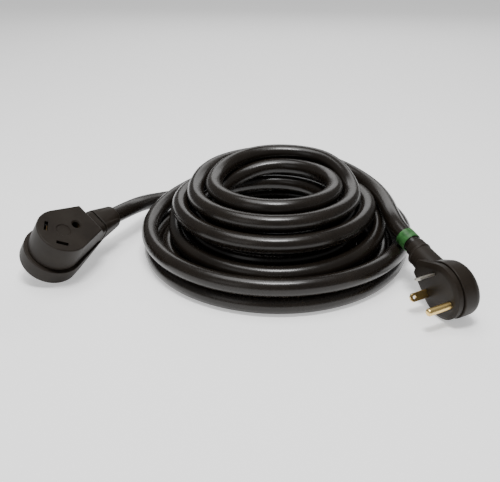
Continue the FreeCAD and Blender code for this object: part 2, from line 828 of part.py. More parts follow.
def connector_front_body():
    body = new_body("connector_front_body", connector)
    neck_end = size("connector_neck_end")
    shoulder = size("connector_shoulder")
    face = new_sketch(body, "XY_Plane", "face")
    teardrop(face, size("connector_face_radius"), shoulder, size("connector_neck_half"))
    pad(body, face, CONNECTOR_WAIST, down=True)
    slope = new_sketch(body, "XZ_Plane", "slope")
    polygon(slope, [
        (size("connector_face_reach"), ZERO),
        (shoulder, -CONNECTOR_NECK),
        (neck_end, -CONNECTOR_NECK),
        (neck_end, EDGE),
        (size("connector_face_reach"), EDGE),
    ])
    pocket(body, slope, size("connector_cover_radius") * 2, both_ways=True)
    break_edges(body, flat_edge_at(0, size("connector_face_reach").value), EDGE)
    neck_start = size("connector_cavity_reach") + EDGE * 2
    neck = new_sketch(body, "YZ_Plane", "neck", along=-CONNECTOR_NECK, lift=neck_start)
    circle(neck, size("connector_neck_radius"))
    pad(body, neck, neck_end - neck_start)
    under = new_sketch(body, "XY_Plane", "flat_underside", lift=-CONNECTOR_WAIST)
    rectangle(under, neck_end, size("connector_neck_radius") * 2, neck_end)
    pocket(body, under, size("connector_neck_radius"))
    cavity = new_sketch(body, "XY_Plane", "cavity", lift=-CONNECTOR_WAIST)
    teardrop(cavity, size("connector_cavity_radius"), size("connector_cavity_reach"), size("cavity_mouth"))
    pocket(body, cavity, CONNECTOR_WAIST - size("connector_roof"), up=True)
    reach = size("connector_cavity_reach") - size("relief_bore")
    cord_bore(body, CONNECTOR_NECK, reach, neck_end - reach)
    dish = new_sketch(body, "XY_Plane", "dish")
    circle(dish, size("connector_dish_radius"))
    pocket(body, dish, size("connector_dish_depth"))
    blade_slots(body, -1, size("opening_play"), ZERO, size("connector_roof"))
    hole = new_sketch(body, "XY_Plane", "ground_opening")
    circle(hole, SLEEVE_BORE, size("pin_circle"))
    pocket(body, hole, size("connector_roof"))


def connector_back_cover():
    body = new_body("connector_back_cover", connector)
    neck_end = size("connector_neck_end")
    inset = size("connector_face_radius") - size("connector_waist_radius")
    waist = new_sketch(body, "XY_Plane", "waist", lift=-CONNECTOR_WAIST)
    teardrop(waist, size("connector_waist_radius"), neck_end - inset, size("connector_neck_half") - inset)
    pad(body, waist, size("connector_groove"), down=True)
    cover = new_sketch(body, "XY_Plane", "cover", lift=-CONNECTOR_BACK_TOP)
    teardrop(cover, size("connector_cover_radius"), neck_end, size("connector_neck_half"))
    pad(body, cover, size("connector_cover_depth"), down=True)
    slope_start = size("connector_slope_start")
    slope = new_sketch(body, "XZ_Plane", "slope")
    polygon(slope, [
        (slope_start, -CONNECTOR_BACK),
        (slope_start, -(CONNECTOR_BACK + EDGE)),
        (neck_end, -(CONNECTOR_BACK + EDGE)),
        (neck_end, size("connector_cover_lift") - CONNECTOR_BACK),
    ])
    pocket(body, slope, size("connector_cover_radius") * 2, both_ways=True)
    break_edges(body, flat_edge_at(-CONNECTOR_BACK.value, slope_start.value), size("connector_cover_break"))
    cavity = new_sketch(body, "XY_Plane", "cavity", lift=-CONNECTOR_WAIST)
    teardrop(cavity, size("connector_cavity_radius"), size("connector_cavity_reach"), size("cavity_mouth"))
    pocket(body, cavity, CONNECTOR_GROUND_DROP + CRIMP_REACH + EDGE - CONNECTOR_WAIST)


def connector_strain_relief():
    neck_end = size("connector_neck_end")
    cone_start = neck_end + size("relief_groove")
    strain_relief("connector_strain_relief", connector, CONNECTOR_NECK, [
        (neck_end, size("relief_bore")),
        (CONNECTOR_END, size("relief_bore")),
        (CONNECTOR_END, size("connector_relief_end")),
        (cone_start, size("connector_neck_radius")),
        (cone_start, size("connector_neck_radius") - EDGE),
        (neck_end, size("connector_neck_radius") - EDGE),
    ])


def connector_insert():
    body = new_body("connector_insert", connector)
    top = size("connector_roof")
    disc = new_sketch(body, "XY_Plane", "disc", lift=-top)
    circle(disc, size("connector_insert_radius"))
    pad(body, disc, size("connector_insert_thickness"), down=True)
    for name, sense in (("upper", -1), ("lower", 1)):
        window = new_sketch(body, "XY_Plane", name + "_window", lift=-top)
        window.setExpression("AttachmentOffset.Rotation.Angle", "%d * sizes.blade_turn" % -sense)
        rectangle(
            window,
            size("blade_thickness") + (size("fit_gap") + size("contact_leaf")) * 2,
            size("blade_width") + size("fit_gap") * 2,
            -size("pin_circle"),
        )
        pocket(body, window, size("connector_insert_thickness"))
    hole = new_sketch(body, "XY_Plane", "sleeve_hole", lift=-top)
    circle(hole, SLEEVE_RADIUS, size("pin_circle"))
    pocket(body, hole, size("connector_insert_thickness"))


def connector_clip(name, sense):
    """A spring clip of two leaves, open towards the face, that takes a blade."""
    body = new_body(name, turned_by(connector, sense * size("blade_turn").value))
    sketch = new_sketch(body, "XZ_Plane", "profile", across=-size("pin_circle"))
    inner = size("blade_thickness") / 2 + size("fit_gap")
    outer = inner + size("contact_leaf")
    top = -size("connector_roof")
    floor = size("contact_leaf") - CONNECTOR_CLIP_END
    polygon(sketch, [
        (-outer, top),
        (-outer, -CONNECTOR_CLIP_END),
        (outer, -CONNECTOR_CLIP_END),
        (outer, top),
        (inner, top),
        (inner, floor),
        (-inner, floor),
        (-inner, top),
    ])
    pad(body, sketch, size("blade_width") + size("fit_gap") * 2, both_ways=True)


def connector_ground_contact():
    """A closed sleeve that takes the ground pin."""
    body = new_body("connector_ground_contact", connector)
    top = size("connector_roof")
    sketch = new_sketch(body, "XY_Plane", "sleeve", lift=-top)
    circle(sketch, SLEEVE_RADIUS, size("pin_circle"))
    pad(body, sketch, CONNECTOR_SLEEVE_END - top, down=True)
    bore = new_sketch(body, "XY_Plane", "bore", lift=-top)
    circle(bore, SLEEVE_BORE, size("pin_circle"))
    pocket(body, bore, CONNECTOR_SLEEVE_END - top - size("contact_leaf"))


def connector_wiring():
    start = -size("connector_crimp_start")
    bend = size("pin_circle") - size("tail_radius")
    bundle = size("connector_cavity_reach") - size("bend_lead")
    live_bundle = CONNECTOR_NECK - BUNDLE_RISE
    for name, sense in (("hot", 1), ("neutral", -1)):
        side = SIDE_OUT * sense
        crimp("connector_%s_crimp" % name, connector, start, side, CONNECTOR_LIVE_DROP)
        conductor("connector_%s_conductor" % name, connector, [
            (start, side, -CONNECTOR_LIVE_DROP),
            (bend, side, -CONNECTOR_LIVE_DROP),
            (bundle, BUNDLE_SIDE * sense, -live_bundle),
            (CONNECTOR_END, BUNDLE_SIDE * sense, -live_bundle),
        ])
    ground = size("pin_circle") - size("crimp_length") / 2
    ground_bundle = -(CONNECTOR_NECK + size("bundle_radius"))
    crimp("connector_ground_crimp", connector, ground, ZERO, CONNECTOR_GROUND_DROP)
    conductor("connector_ground_conductor", connector, [
        (ground, ZERO, -CONNECTOR_GROUND_DROP),
        (ground + size("crimp_length") + size("bend_run") / 2, ZERO, -CONNECTOR_GROUND_DROP),
        (bundle, ZERO, ground_bundle),
        (CONNECTOR_END, ZERO, ground_bundle),
    ])


connector_front_body()
connector_back_cover()
connector_strain_relief()
connector_insert()
connector_clip("connector_hot_contact", -1)
connector_clip("connector_neutral_contact", 1)
connector_ground_contact()
connector_wiring()


# Leads from the coil to the moulded ends

def neck_way(place, neck_drop, end, beyond):
    """The end of the neck, and a point of the lead straight out of it."""
    return (
        place.multVec(V(end.value, 0, -neck_drop.value)),
        place.multVec(V(end.value + beyond, 0, -neck_drop.value)),
    )


plug_neck, plug_out = neck_way(plug, PLUG_NECK, PLUG_END, PLUG_NECK_RUN)
plug_edges = rounded_route(
    [coil_end, coil_end + coil_departure * PLUG_COIL_RUN, plug_out, plug_neck],
    "plug_lead",
)
connector_neck, connector_out = neck_way(connector, CONNECTOR_NECK, CONNECTOR_END, CONNECTOR_NECK_RUN)
connector_edges = rounded_route(
    [connector_neck, connector_out]
    + [coil_place(*stop) for stop in CONNECTOR_LEAD_STOPS]
    + [coil_start - coil_arrival * CONNECTOR_COIL_RUN, coil_start],
    "connector_lead",
)
new_feature("plug_lead", tube(plug_edges, plug_edges[0].tangentAt(0), cord, "plug_lead"))
new_feature(
    "connector_lead",
    keep_above_floor(tube(connector_edges, connector_out - connector_neck, cord, "connector_lead")),
)
whole_cord = connector_edges + coil_edges + plug_edges
print("least strand gap %.2f between %s and %s" % least_gap(whole_cord, GAP_STEP))


def green_band():
    """The ring on the cord just outside the plug."""
    body = new_body("green_band", plug)
    sketch = new_sketch(body, "XZ_Plane", "profile", along=-PLUG_NECK)
    inner = size("cord_diameter") / 2 + size("fit_gap")
    outer = inner + size("band_wall")
    start = PLUG_END + size("band_offset")
    end = start + size("band_length")
    polygon(sketch, [(start, inner), (end, inner), (end, outer), (start, outer)])
    turn(body, sketch, "H_Axis")


green_band()

DOC.recompute()
for item in DOC.Objects:
    if set(item.State) & {"Invalid", "Error"}:
        raise ValueError("%s is in error: %s" % (item.Name, item.State))
for node in NODES:
    if node.Shape.isNull() or not node.Shape.isValid() or node.Shape.Volume <= 0:
        raise ValueError("%s has no valid solid" % node.Label)

whole_box = FreeCAD.BoundBox()
for node in NODES:
    whole_box.add(node.Shape.BoundBox)
print("overall %.1f x %.1f x %.1f" % (whole_box.XLength, whole_box.YLength, whole_box.ZLength))

os.makedirs("parts", exist_ok=True)
for node in NODES:
    node.Shape.exportStep("parts/%s.step" % node.Label)
print("%d pieces written" % len(NODES))
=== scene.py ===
"""A coiled shore power cord with a moulded plug and connector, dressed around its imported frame.

Sizes are in millimetres and become metres as each piece is placed; Z is up and the floor is at
Z = 0. Each moulded end is modelled in its own frame: the origin is the middle of its face, +Z
leaves the face and +X runs from there to the neck. A finished object sits at the origin, with its
place in its mesh.
"""
import logging
import math
from dataclasses import dataclass, field
from enum import Enum
from typing import Callable, Sequence

import bmesh
import bpy
from bmesh.types import BMEdge
from bpy.types import Material, NodeSocket, Object
from mathutils import Euler, Matrix, Vector


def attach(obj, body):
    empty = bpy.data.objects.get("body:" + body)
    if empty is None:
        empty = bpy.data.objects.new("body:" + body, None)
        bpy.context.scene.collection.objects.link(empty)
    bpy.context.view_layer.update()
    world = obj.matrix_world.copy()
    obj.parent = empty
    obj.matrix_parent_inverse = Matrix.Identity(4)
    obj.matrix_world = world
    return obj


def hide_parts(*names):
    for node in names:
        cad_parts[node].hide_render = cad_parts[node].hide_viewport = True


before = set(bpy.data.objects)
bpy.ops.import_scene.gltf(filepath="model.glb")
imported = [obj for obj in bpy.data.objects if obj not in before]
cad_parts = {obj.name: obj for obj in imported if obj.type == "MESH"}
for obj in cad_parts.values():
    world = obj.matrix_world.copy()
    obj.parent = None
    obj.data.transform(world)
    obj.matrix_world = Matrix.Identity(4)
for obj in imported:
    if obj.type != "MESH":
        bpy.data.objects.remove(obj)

LOG = logging.getLogger("shore_power_cord")
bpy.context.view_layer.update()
MM = 0.001
FULL_TURN = 2 * math.pi
WHITE = (1.0, 1.0, 1.0, 1.0)
BOTH_SIDES = (-1, 1)

# How many steps a full circle has, and how many the round of a corner.
ROUND_STEPS = 96
CORNER_STEPS = 12
# The distance within which two places are one, in millimetres.
CLOSE = 1e-3
# The least angle between two faces that makes their edge a cornered one, in radians.
CLEAR_CORNER = 0.3
# How far a cutting form passes the surface that it opens, in millimetres.
PAST = 1.0
# Turns what lies flat so that it faces along X.
UPRIGHT = Matrix.Rotation(math.pi / 2, 4, "Y")

# What both ends share, in millimetres and degrees: where the blades and the pin stand about the
# face's middle, and the radius of the way for the cord through a moulding that grips it.
PIN_CIRCLE = 16.6
BLADE_TURN = 45.0
CORD_WAY = 6.4

Colour = tuple[float, float, float]
Direction = tuple[float, float, float]
Place = tuple[float, float, float]
Pair = tuple[float, float]
# A round section that faces along X: its length, drop and radius.
Ring = tuple[float, float, float]
# A stop of the coil: its turn, radius and height.
Stop = tuple[float, float, float]
Edges = list[BMEdge]
Chooser = Callable[[BMEdge], bool]


class Slot(Enum):
    """The record's material slots, kept with the new pieces but not given to them."""

    CORD = "cord_jacket"
    MOULDED = "moulded_black"
    BRASS = "blade_brass"
    NICKEL = "blade_nickel"
    BAND = "band_green"


class Boolean(Enum):
    """How one solid is put together with another."""

    JOIN = "UNION"
    CUT = "DIFFERENCE"


class Wire:
    """A socket of a shader node that can be used in sums."""

    def __init__(self, shader: "Shader", socket: NodeSocket) -> None:
        """Keeps the socket and the shader that it belongs to."""
        self.shader = shader
        self.socket = socket

    def _math(self, operation: str, *operands: "Wire | float") -> "Wire":
        """Adds a Math node on the operands."""
        return self.shader.node("ShaderNodeMath", dict(enumerate(operands)), operation=operation)

    def __add__(self, other: "Wire | float") -> "Wire":
        """The sum of both."""
        return self._math("ADD", self, other)

    def __mul__(self, other: "Wire | float") -> "Wire":
        """The product of both."""
        return self._math("MULTIPLY", self, other)

    def __pow__(self, exponent: float) -> "Wire":
        """This raised to a power."""
        return self._math("POWER", self, exponent)

    __radd__ = __add__
    __rmul__ = __mul__


class Shader:
    """A material's node tree around one Principled surface.

    Here and in the finishes, a scale is in waves a metre and a depth in metres.
    """

    def __init__(self, name: str) -> None:
        """Starts a material of this name, with a Principled surface and Object coordinates."""
        self.material = bpy.data.materials.new(name)
        self.material.use_nodes = True
        self.surface = self.material.node_tree.nodes["Principled BSDF"]
        self.place = self.node("ShaderNodeTexCoord", output="Object")

    def node(
        self,
        kind: str,
        inputs: dict[str | int, object] | None = None,
        output: str | int = 0,
        stops: Sequence[tuple[float, Colour]] = (),
        **settings: object,
    ) -> Wire:
        """Makes a node.

        Args:
            kind: The node's type.
            inputs: Values or wires by the input's name or number.
            output: The output that is wanted.
            stops: A colour ramp's two stops, each a place and a colour.
            **settings: The node's own settings.

        Returns:
            The chosen output.
        """
        made = self.material.node_tree.nodes.new(kind)
        for name, value in settings.items():
            setattr(made, name, value)
        for index, (place, colour) in enumerate(stops):
            made.color_ramp.elements[index].position = place
            made.color_ramp.elements[index].color = (*colour, 1.0)
        for name, value in (inputs or {}).items():
            self.feed(made.inputs[name], value)
        return Wire(self, made.outputs[output])

    def feed(self, socket: NodeSocket, value: object) -> None:
        """Links a wire to a socket, or sets a plain value on it."""
        if isinstance(value, Wire):
            self.material.node_tree.links.new(value.socket, socket)
        else:
            socket.default_value = value

    def dress(self, **values: object) -> Material:
        """Feeds the Principled surface.

        Args:
            **values: Values or wires by the input's name, with underscores for spaces.

        Returns:
            The finished material.
        """
        for name, value in values.items():
            self.feed(self.surface.inputs[name.replace("_", " ")], value)
        return self.material

    def noise(
        self, scale: float, detail: float, roughness: float = 0.5, place: Wire | None = None,
    ) -> Wire:
        """Adds noise between 0 and 1.

        Args:
            scale: Waves a metre.
            detail: How many finer layers it has.
            roughness: How strong the finer layers are.
            place: Where it is read, Object coordinates if left out.

        Returns:
            The noise's value.
        """
        inputs = {"Vector": place or self.place, "Scale": scale, "Detail": detail, "Roughness": roughness}
        return self.node("ShaderNodeTexNoise", inputs, output="Fac")

    def tint(self, value: Wire, dark: Colour, light: Colour, low: float = 0.35, high: float = 0.68) -> Wire:
        """Turns a value into a colour between two.

        Args:
            value: The value that is read.
            dark: The colour up to the low end.
            light: The colour from the high end.
            low: Where the change starts.
            high: Where the change ends.

        Returns:
            The colour.
        """
        stops = ((low, dark), (high, light))
        return self.node("ShaderNodeValToRGB", {"Fac": value}, output="Color", stops=stops)

    def bump(self, height: Wire, distance: float, strength: float, under: Wire | None = None) -> Wire:
        """Adds a bump.

        Args:
            height: The relief, between 0 and 1.
            distance: The relief's depth in metres.
            strength: How strongly it shows.
            under: The bump that it lies on.

        Returns:
            The bumped normal.
        """
        inputs = {"Height": height, "Distance": distance, "Strength": strength}
        if under is not None:
            inputs["Normal"] = under
        return self.node("ShaderNodeBump", inputs, output="Normal")

    def drawn_out(self, along: Vector, factor: float) -> Wire:
        """Turns and squeezes Object coordinates along one direction, for marks left by drawing.

        Args:
            along: The direction of the marks.
            factor: How much slower the coordinate changes along it.

        Returns:
            The coordinates.
        """
        turn = along.to_track_quat("X", "Z").to_matrix().transposed().to_euler()
        turned = self.node("ShaderNodeMapping", {"Vector": self.place, "Rotation": turn})
        return self.node("ShaderNodeMapping", {"Vector": turned, "Scale": (factor, 1.0, 1.0)})


@dataclass(frozen=True)
class MouldedPlastic:
    """Soft moulded thermoplastic with a fine spark-eroded grain and slight flow marks."""

    name: str
    dark: Colour
    light: Colour
    roughness: float = 0.42
    specular: float = 0.16
    cloud_scale: float = 38.0
    flow_scale: float = 150.0
    flow_depth: float = 0.00016
    grain_scale: float = 2600.0
    grain_depth: float = 0.00006

    def build(self) -> Material:
        """Builds the material."""
        shader = Shader(self.name)
        cloud = shader.noise(self.cloud_scale, detail=4.0)
        flow = shader.noise(self.flow_scale, detail=2.0)
        grain = shader.noise(self.grain_scale, detail=2.0)
        soft = shader.bump(flow, self.flow_depth, strength=0.35)
        return shader.dress(
            Base_Color=shader.tint(0.7 * cloud + 0.3 * grain, self.dark, self.light),
            Roughness=self.roughness - 0.06 + 0.12 * cloud + 0.06 * grain,
            Specular_IOR_Level=self.specular,
            Normal=shader.bump(grain, self.grain_depth, strength=0.55, under=soft),
        )


@dataclass(frozen=True)
class CordJacket:
    """An extruded vinyl jacket: satin, with slight waves over the strands and small scuffs."""

    name: str
    dark: Colour
    light: Colour
    roughness: float = 0.20
    specular: float = 0.42
    cloud_scale: float = 24.0
    wave_scale: float = 80.0
    wave_depth: float = 0.0004
    fine_scale: float = 1900.0
    fine_depth: float = 0.00003
    scuff_scale: float = 230.0
    scuff_sharpness: float = 5.0

    def build(self) -> Material:
        """Builds the material."""
        shader = Shader(self.name)
        cloud = shader.noise(self.cloud_scale, detail=4.0)
        wave = shader.noise(self.wave_scale, detail=2.0)
        fine = shader.noise(self.fine_scale, detail=2.0)
        scuff = shader.noise(self.scuff_scale, detail=6.0, roughness=0.7) ** self.scuff_sharpness
        soft = shader.bump(wave, self.wave_depth, strength=0.25)
        return shader.dress(
            Base_Color=shader.tint(0.6 * cloud + 0.25 * wave + 0.15 * fine, self.dark, self.light),
            Roughness=self.roughness + 0.10 * cloud + 0.3 * scuff,
            Specular_IOR_Level=self.specular,
            Normal=shader.bump(fine, self.fine_depth, strength=0.2, under=soft),
        )


@dataclass(frozen=True)
class DrawnMetal:
    """Rolled or drawn metal with fine marks along one direction and a little tarnish."""

    name: str
    bright: Colour
    dull: Colour
    along: Direction
    roughness: float = 0.22
    mark_scale: float = 3200.0
    mark_depth: float = 0.00003
    mark_stretch: float = 0.03
    tarnish_scale: float = 120.0

    def build(self) -> Material:
        """Builds the material."""
        shader = Shader(self.name)
        along = shader.drawn_out(Vector(self.along), self.mark_stretch)
        marks = shader.noise(self.mark_scale, detail=3.0, place=along)
        tarnish = shader.noise(self.tarnish_scale, detail=5.0)
        return shader.dress(
            Metallic=1.0,
            Base_Color=shader.tint(tarnish, self.bright, self.dull, low=0.38, high=0.72),
            Roughness=self.roughness + 0.12 * tarnish + 0.10 * marks,
            Normal=shader.bump(marks, self.mark_depth, strength=0.5),
        )


@dataclass(frozen=True)
class Outline:
    """A round end about the origin, with tangent sides to a straight end where it has a reach.

    The straight end crosses X at the reach, and the half is half its width.
    """

    radius: float
    reach: float = 0.0
    half: float = 0.0

    @property
    def touch(self) -> float:
        """The angle at which a straight side leaves the round end."""
        far = math.hypot(self.reach, self.half)
        return math.atan2(self.half, self.reach) + math.acos(self.radius / far)


Sections = tuple[tuple[float, Outline], ...]


def at_height(height: float) -> Chooser:
    """Chooses the cornered edges that lie at a height."""
    return lambda edge: sharp(edge) and all(abs(vert.co.z - height) < CLOSE for vert in edge.verts)


def at_length(length: float) -> Chooser:
    """Chooses the cornered edges that lie at a length along X."""
    return lambda edge: sharp(edge) and all(abs(vert.co.x - length) < CLOSE for vert in edge.verts)


def above(height: float) -> Chooser:
    """Chooses the cornered edges that start above a height."""
    return lambda edge: sharp(edge) and edge.verts[0].co.z > height + CLOSE


def below(height: float) -> Chooser:
    """Chooses the cornered edges that start below a height."""
    return lambda edge: sharp(edge) and edge.verts[0].co.z < height - CLOSE


def sharp(edge: BMEdge) -> bool:
    """Whether two faces meet at the edge at a clear angle."""
    return len(edge.link_faces) == 2 and edge.calc_face_angle(0.0) > CLEAR_CORNER


def linked(name: str, data: bpy.types.ID) -> Object:
    """Makes an object and links it to the scene."""
    made = bpy.data.objects.new(name, data)
    bpy.context.scene.collection.objects.link(made)
    return made


def moved(x: float = 0.0, y: float = 0.0, z: float = 0.0) -> Matrix:
    """A move along the axes."""
    return Matrix.Translation((x, y, z))


class Form:
    """A mesh under construction, in a moulded end's own millimetres, or in metres for the floor.

    What draws a loop returns its edges, and what builds or changes a form returns that form.
    """

    def __init__(self, name: str) -> None:
        """Starts an empty mesh."""
        self.name = name
        self.mesh = bmesh.new()

    def outline(self, shape: Outline, height: float) -> Edges:
        """Draws an outline: a circle, or a round end swept by a spin and closed by its end.

        Args:
            shape: The outline.
            height: Where it lies along Z.
        """
        if not shape.reach:
            return self.ring(moved(z=height), shape.radius)
        known = set(self.mesh.edges)
        start = self.mesh.verts.new((
            shape.radius * math.cos(shape.touch), shape.radius * math.sin(shape.touch), height,
        ))
        swept = bmesh.ops.spin(
            self.mesh, geom=[start], cent=(0.0, 0.0, height), axis=(0.0, 0.0, 1.0),
            angle=2 * (math.pi - shape.touch), steps=ROUND_STEPS, use_merge=False, use_duplicate=False,
        )
        near = self.mesh.verts.new((shape.reach, -shape.half, height))
        far = self.mesh.verts.new((shape.reach, shape.half, height))
        for pair in ((swept["geom_last"][0], near), (near, far), (far, start)):
            self.mesh.edges.new(pair)
        return [edge for edge in self.mesh.edges if edge not in known]

    def ring(self, place: Matrix, radius: float) -> Edges:
        """Draws a circle.

        Args:
            place: Where its middle is, and how it is turned.
            radius: Its radius.
        """
        known = set(self.mesh.edges)
        bmesh.ops.create_circle(self.mesh, segments=ROUND_STEPS, radius=radius, matrix=place)
        return [edge for edge in self.mesh.edges if edge not in known]

    def upright_ring(self, length: float, drop: float, radius: float) -> Edges:
        """Draws a circle that faces along X, with its middle a drop below the face."""
        return self.ring(moved(length, z=-drop) @ UPRIGHT, radius)

    def squared(self, length: float, drop: float, half: Pair, corner: float) -> Edges:
        """Draws a rectangle with rounded corners that faces along X.

        Args:
            length: Where it lies along X.
            drop: How far its middle lies below the face.
            half: Half its width and half its height, which runs down from the face.
            corner: How far back from each corner the round starts.
        """
        known = set(self.mesh.edges)
        size = Matrix.Diagonal((half[1], half[0], 1.0, 1.0))
        place = moved(length, z=-drop) @ UPRIGHT @ size
        made = bmesh.ops.create_grid(self.mesh, x_segments=1, y_segments=1, size=1.0, matrix=place)
        rounds = bmesh.ops.bevel(
            self.mesh, geom=made["verts"], offset=corner, offset_type="OFFSET",
            segments=CORNER_STEPS, profile=0.5, affect="VERTICES", material=-1, clamp_overlap=True,
        )
        edges = [edge for edge in self.mesh.edges if edge not in known]
        # Only the rim is kept.
        faces = {face for edge in edges for face in edge.link_faces} | set(rounds["faces"])
        bmesh.ops.delete(self.mesh, geom=list(faces), context="FACES_ONLY")
        return edges

    def skin(self, loops: Sequence[Edges]) -> "Form":
        """Bridges neighbouring loops and fills the two ends.

        Args:
            loops: Closed loops from one end to the other.
        """
        for lower, upper in zip(loops, loops[1:]):
            bmesh.ops.bridge_loops(self.mesh, edges=lower + upper)
        for end in (loops[0], loops[-1]):
            bmesh.ops.edgeloop_fill(self.mesh, edges=end)
        bmesh.ops.recalc_face_normals(self.mesh, faces=self.mesh.faces)
        return self

    def loft(self, *sections: tuple[float, Outline]) -> "Form":
        """Skins outlines at their heights."""
        return self.skin([self.outline(shape, height) for height, shape in sections])

    def prism(self, shape: Outline, low: float, high: float) -> "Form":
        """Skins one outline from a low to a high height."""
        return self.loft((low, shape), (high, shape))

    def tube(self, *rings: Ring) -> "Form":
        """Skins circles that face along X, each of a length, a drop and a radius."""
        return self.skin([self.upright_ring(*ring) for ring in rings])

    def block(self, low: Place, high: Place) -> "Form":
        """Makes a box between two corners.

        Args:
            low: Its lowest corner.
            high: Its highest corner.
        """
        size = [far - near for near, far in zip(low, high)]
        middle = [(near + far) / 2 for near, far in zip(low, high)]
        place = Matrix.Translation(middle) @ Matrix.Diagonal((*size, 1.0))
        bmesh.ops.create_cube(self.mesh, size=1.0, matrix=place)
        return self

    def turned(self, profile: Sequence[Pair]) -> "Form":
        """Spins a profile about X.

        Args:
            profile: Corners of length and radius, a closed ring or a line between two poles.
        """
        corners = [self.mesh.verts.new((length, radius, 0.0)) for length, radius in profile]
        sides = list(zip(corners, corners[1:]))
        if profile[0][1] or profile[-1][1]:
            sides.append((corners[-1], corners[0]))
        edges = [self.mesh.edges.new(side) for side in sides]
        bmesh.ops.spin(
            self.mesh, geom=corners + edges, cent=(0.0, 0.0, 0.0), axis=(1.0, 0.0, 0.0),
            angle=FULL_TURN, steps=ROUND_STEPS, use_merge=True, use_duplicate=False,
        )
        bmesh.ops.remove_doubles(self.mesh, verts=self.mesh.verts, dist=CLOSE)
        bmesh.ops.recalc_face_normals(self.mesh, faces=self.mesh.faces)
        return self

    def rounded(self, width: float, chosen: Chooser = sharp, segments: int = 4) -> "Form":
        """Rounds the chosen edges.

        Args:
            width: How far back from the edge the round starts.
            chosen: Tells whether an edge is rounded.
            segments: How many faces the round has; one makes a chamfer.
        """
        bmesh.ops.bevel(
            self.mesh, geom=[edge for edge in self.mesh.edges if chosen(edge)], offset=width,
            offset_type="OFFSET", segments=segments, profile=0.5, affect="EDGES", material=-1,
            clamp_overlap=True,
        )
        return self

    def sliced(self, point: Place, normal: Direction) -> "Form":
        """Cuts away what lies beyond a plane and closes the cut.

        Args:
            point: A point on the plane.
            normal: The direction of what is cut away.
        """
        geometry = [*self.mesh.verts, *self.mesh.edges, *self.mesh.faces]
        cut = bmesh.ops.bisect_plane(
            self.mesh, geom=geometry, dist=CLOSE, plane_co=point, plane_no=normal, clear_outer=True,
        )
        rim = [item for item in cut["geom_cut"] if isinstance(item, BMEdge)]
        bmesh.ops.edgeloop_fill(self.mesh, edges=rim)
        bmesh.ops.recalc_face_normals(self.mesh, faces=self.mesh.faces)
        return self

    def placed(self, place: Matrix) -> "Form":
        """Moves what has been made so far."""
        bmesh.ops.transform(self.mesh, matrix=place, verts=self.mesh.verts)
        return self

    def done(self) -> Object:
        """Makes the object, linked to the scene, and frees the mesh under construction."""
        data = bpy.data.meshes.new(self.name)
        self.mesh.to_mesh(data)
        self.mesh.free()
        return linked(self.name, data)


def combine(base: Object, how: Boolean, *forms: Form) -> Object:
    """Joins forms to a piece, or cuts them out of it.

    Args:
        base: The piece.
        how: Whether the forms are joined or cut out.
        *forms: The forms, which are used up.

    Returns:
        The piece.
    """
    for form in forms:
        tool = form.done()
        modifier = base.modifiers.new("combine", "BOOLEAN")
        modifier.operation = how.value
        modifier.solver = "EXACT"
        modifier.object = tool
        bpy.context.view_layer.update()
        evaluated = base.evaluated_get(bpy.context.evaluated_depsgraph_get())
        data = bpy.data.meshes.new_from_object(evaluated)
        base.modifiers.clear()
        spent = (base.data, tool.data)
        base.data = data
        bpy.data.objects.remove(tool)
        for mesh in spent:
            bpy.data.meshes.remove(mesh)
    return base


@dataclass
class Piece:
    """A finished piece and the nodes that it stands for."""

    made: Object
    slot: Slot
    nodes: tuple[str, ...]
    smooth_angle: float = 32.0

    def finish(self, place: Matrix | None, material: Material) -> Object:
        """Args:
            place: From the moulded end's millimetres to the part's metres, if it needs that.
            material: Its finish.

        Returns:
            The piece's object.
        """
        if place is not None:
            self.made.data.transform(place)
        if self.made.type == "MESH":
            self.made.data.shade_smooth()
            self.made.data.set_sharp_from_angle(angle=math.radians(self.smooth_angle))
            even = self.made.modifiers.new("even_normals", "WEIGHTED_NORMAL")
            even.keep_sharp = True
        self.made.data.materials.clear()
        self.made.data.materials.append(material)
        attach(self.made, "root")
        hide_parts(*self.nodes)
        LOG.info("%s stands for %s", self.made.name, ", ".join(self.nodes))
        return self.made


def head_matrix(middle: Place, yaw: float, pitch: float, roll: float) -> Matrix:
    """Finds the place of a moulded end.

    Args:
        middle: The middle of its face, in the part's millimetres.
        yaw: Its turn about Z, in degrees.
        pitch: Its turn about Y before that.
        roll: Its turn about X, the first.

    Returns:
        The matrix from its own millimetres to the part's metres.
    """
    turn = Euler([math.radians(angle) for angle in (roll, pitch, yaw)], "XYZ").to_matrix().to_4x4()
    return Matrix.Translation(Vector(middle) * MM) @ turn @ Matrix.Scale(MM, 4)


def about_z(degrees: float) -> Matrix:
    """A turn about the face's middle."""
    return Matrix.Rotation(math.radians(degrees), 4, "Z")


def blade_slots(middle: float, half: Pair, depth: float) -> list[Form]:
    """Makes what cuts the two blades' slots into a face.

    Args:
        middle: How far from the face's middle a slot lies, along X before its turn.
        half: Half its width and half its length.
        depth: Its depth.

    Returns:
        The cutting forms.
    """
    low = (middle - half[0], -half[1], -depth)
    high = (middle + half[0], half[1], PAST)
    return [Form("slot").block(low, high).placed(about_z(side * BLADE_TURN)) for side in BOTH_SIDES]


def cord_bore(start: float, end: float, drop: float) -> Form:
    """Makes what cuts the cord's way through a moulding, from one length to another."""
    return Form("bore").tube((start, drop, CORD_WAY), (end, drop, CORD_WAY))


